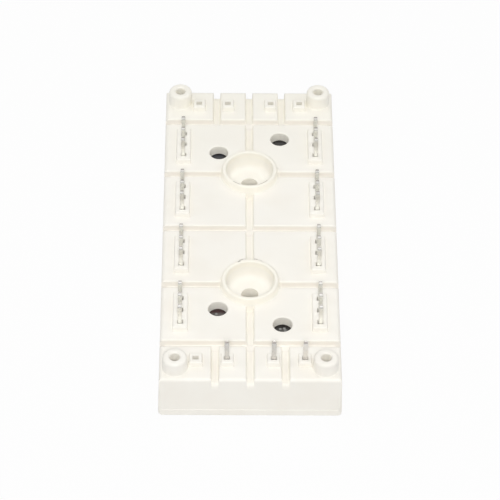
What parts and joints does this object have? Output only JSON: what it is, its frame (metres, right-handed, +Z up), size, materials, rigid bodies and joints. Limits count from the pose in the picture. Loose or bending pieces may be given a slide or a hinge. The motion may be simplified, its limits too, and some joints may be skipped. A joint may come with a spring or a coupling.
{
  "type": "thyristor diode power module",
  "caption": "Flat moulded power module with grooved top, rimmed screw wells, corner board bosses and rows of upright solder pins over ceramic substrates.",
  "frame": {"origin": "middle of the cooling face under the module", "axes": "+Z up through the pins, +Y along the body to the rear end with the empty control slots, +X to the right"},
  "size_m": [0.045, 0.1048, 0.0199],
  "materials": {
    "housing_plastic": "ivory glass-filled moulding, satin",
    "tinned_pin": "tin-plated copper strip, satin",
    "bonded_copper": "bonded copper foil, satin",
    "alumina": "fired alumina, matte",
    "silicon": "metallised silicon, satin",
    "bond_wire": "drawn aluminium wire",
    "silicone_gel": "dark soft gel, glossy"
  },
  "bodies": {
    "root": {"housing": "housing_plastic", "power_terminal_left_1": "tinned_pin", "power_terminal_left_2": "tinned_pin", "power_terminal_left_3": "tinned_pin", "power_terminal_left_4": "tinned_pin", "power_terminal_right_1": "tinned_pin", "power_terminal_right_2": "tinned_pin", "power_terminal_right_3": "tinned_pin", "power_terminal_right_4": "tinned_pin", "gate_pin_1": "tinned_pin", "gate_pin_2": "tinned_pin", "gate_pin_3": "tinned_pin", "base_copper_front": "bonded_copper", "base_copper_rear": "bonded_copper", "ceramic_plate_front": "alumina", "ceramic_plate_rear": "alumina", "copper_tracks_front": "bonded_copper", "copper_tracks_rear": "bonded_copper", "thyristor_chip_1": "silicon", "thyristor_chip_2": "silicon", "thyristor_chip_3": "silicon", "diode_chip_1": "silicon", "diode_chip_2": "silicon", "diode_chip_3": "silicon", "bond_wires_front": "bond_wire", "bond_wires_rear": "bond_wire", "silicone_gel_front": "silicone_gel", "silicone_gel_rear": "silicone_gel"}
  },
  "joints": []
}
